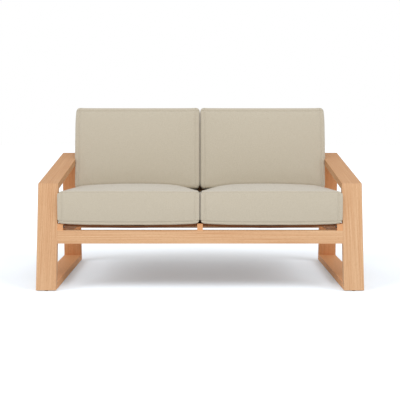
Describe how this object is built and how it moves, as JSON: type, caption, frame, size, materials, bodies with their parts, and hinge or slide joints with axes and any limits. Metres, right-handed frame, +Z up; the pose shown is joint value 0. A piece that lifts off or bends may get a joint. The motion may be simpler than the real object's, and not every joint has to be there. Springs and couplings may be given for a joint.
{
  "type": "patio loveseat",
  "caption": "Two-seat outdoor sofa with leaning closed-loop wooden side frames, a slatted seat and back, and loose boxed seat and back cushions.",
  "frame": {"origin": "centre of the footprint on the floor, under the glides' faces", "axes": "+X across the seat to the right as seen from behind the camera in front, +Y from the front to the back, +Z up"},
  "size_m": [1.524, 0.8765, 0.8521],
  "materials": {
    "wood": "oiled teak, satin",
    "cushion_cover": "woven outdoor acrylic, matte",
    "steel": "stainless steel, plain",
    "brass": "turned brass, plain",
    "glide": "black nylon, matte"
  },
  "bodies": {
    "frame": {"front_apron": "wood", "rear_rail": "wood", "centre_bearer": "wood", "centre_back_post": "wood", "back_top_rail": "wood", "frame_dowels": "wood", "frame_bolts": "steel", "bolt_inserts": "brass", "left_front_leg": "wood", "right_front_leg": "wood", "left_arm": "wood", "right_arm": "wood", "left_rear_leg": "wood", "right_rear_leg": "wood", "left_runner": "wood", "right_runner": "wood", "left_corner_tongues": "wood", "right_corner_tongues": "wood", "left_front_glide": "glide", "right_front_glide": "glide", "left_rear_glide": "glide", "right_rear_glide": "glide", "left_bearer": "wood", "right_bearer": "wood", "left_back_post": "wood", "right_back_post": "wood", "left_seat_slat_1": "wood", "right_seat_slat_1": "wood", "left_seat_slat_2": "wood", "right_seat_slat_2": "wood", "left_seat_slat_3": "wood", "right_seat_slat_3": "wood", "left_seat_slat_4": "wood", "right_seat_slat_4": "wood", "left_seat_slat_5": "wood", "right_seat_slat_5": "wood", "left_seat_slat_6": "wood", "right_seat_slat_6": "wood", "left_seat_slat_7": "wood", "right_seat_slat_7": "wood", "left_seat_slat_8": "wood", "right_seat_slat_8": "wood", "left_back_slat_1": "wood", "right_back_slat_1": "wood", "left_back_slat_2": "wood", "right_back_slat_2": "wood", "left_back_slat_3": "wood", "right_back_slat_3": "wood", "left_back_slat_4": "wood", "right_back_slat_4": "wood", "left_back_slat_5": "wood", "right_back_slat_5": "wood", "left_back_slat_6": "wood", "right_back_slat_6": "wood"},
    "left_seat": {"left_seat_cushion": "cushion_cover"},
    "right_seat": {"right_seat_cushion": "cushion_cover"},
    "left_back": {"left_back_cushion": "cushion_cover"},
    "right_back": {"right_back_cushion": "cushion_cover"}
  },
  "joints": [
    {"name": "left_seat_slide", "type": "slide", "parent": "frame", "child": "left_seat", "axis": [0, -0.9994, 0.0349], "range_m": [0, 0.3]},
    {"name": "right_seat_slide", "type": "slide", "parent": "frame", "child": "right_seat", "axis": [0, -0.9994, 0.0349], "range_m": [0, 0.3]},
    {"name": "left_back_lift", "type": "slide", "parent": "frame", "child": "left_back", "axis": [0, 0.2079, 0.9781], "range_m": [0, 0.25]},
    {"name": "right_back_lift", "type": "slide", "parent": "frame", "child": "right_back", "axis": [0, 0.2079, 0.9781], "range_m": [0, 0.25]}
  ]
}
